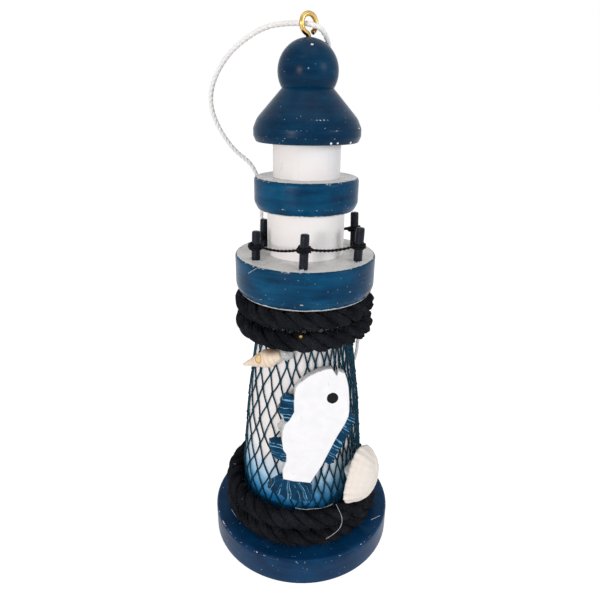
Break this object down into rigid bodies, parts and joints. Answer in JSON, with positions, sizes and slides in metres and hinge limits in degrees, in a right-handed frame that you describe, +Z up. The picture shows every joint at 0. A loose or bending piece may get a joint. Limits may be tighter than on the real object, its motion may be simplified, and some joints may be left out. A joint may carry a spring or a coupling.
{
  "type": "garden lighthouse ornament",
  "caption": "Turned wooden lighthouse ornament with rope, fishing net, fish and shells, standing on a round base and hung from a screw eye by a cord loop",
  "frame": {"origin": "centre of the base disc's underside", "axes": "+Z up along the tower, -Y toward the side with the fish, +X to that side's right"},
  "size_m": [0.0622, 0.0622, 0.1671],
  "materials": {
    "navy_paint": "satin navy paint on turned wood",
    "blue_paint": "satin blue paint on turned wood, white paint on the flat top",
    "white_paint": "matt white paint, fading to blue at the tower's foot",
    "black_wood": "matt black paint on thin sticks",
    "black_twine": "waxed black twine",
    "black_rope": "three-strand cotton rope, matt",
    "net_twine": "thin knotted teal-black twine",
    "fish_paint": "matt white paint, blue fins",
    "shell": "natural shell, dry",
    "hot_glue": "clear hot glue",
    "brass": "polished",
    "white_cord": "braided white cotton"
  },
  "bodies": {
    "ornament": {"base_disc": "navy_paint", "tower_body": "white_paint", "gallery_disc": "blue_paint", "lantern_spindle": "white_paint", "upper_disc": "blue_paint", "roof_cap": "navy_paint", "screw_eye": "brass", "fence_post_1": "black_wood", "fence_post_2": "black_wood", "fence_post_3": "black_wood", "fence_post_4": "black_wood", "fence_post_5": "black_wood", "fence_post_6": "black_wood", "fence_rail": "black_twine", "lower_rope": "black_rope", "upper_rope": "black_rope", "rope_brad": "brass", "fishing_net": "net_twine", "fish": "fish_paint", "fish_glue": "hot_glue", "spiral_shell": "shell", "spiral_shell_glue": "hot_glue", "scallop_shell": "shell", "scallop_glue": "hot_glue", "hanging_cord": "white_cord", "cord_knot": "white_cord"}
  },
  "joints": []
}
